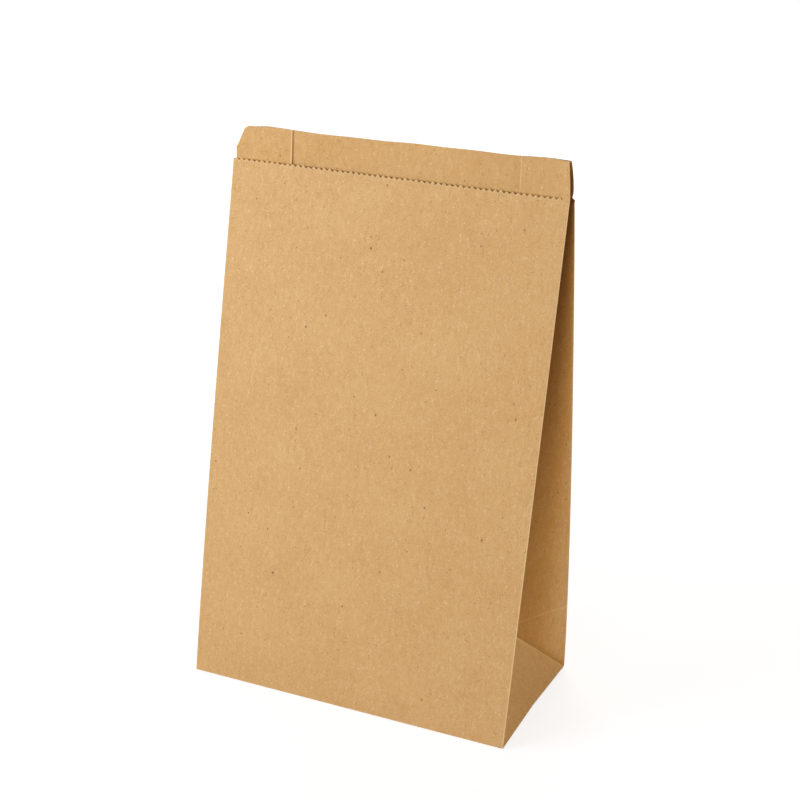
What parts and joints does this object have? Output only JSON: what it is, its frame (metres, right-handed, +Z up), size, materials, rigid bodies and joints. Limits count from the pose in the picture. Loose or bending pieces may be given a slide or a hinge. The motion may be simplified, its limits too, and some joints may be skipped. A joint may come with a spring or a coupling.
{
  "type": "brown paper lunch bag",
  "caption": "Flat-bottomed kraft paper bag with gusseted sides, a pinked front edge and a taller back lip, standing with its mouth nearly closed.",
  "frame": {"origin": "on the floor under the middle of the base", "axes": "+Z up to the mouth, -Y towards the front panel, +X to the right seen from the front"},
  "size_m": [0.181, 0.0972, 0.2917],
  "materials": {
    "kraft_paper": "dull brown kraft paper with fine grain and scattered darker fibres"
  },
  "bodies": {
    "root": {"paper_bag": "kraft_paper"}
  },
  "joints": []
}
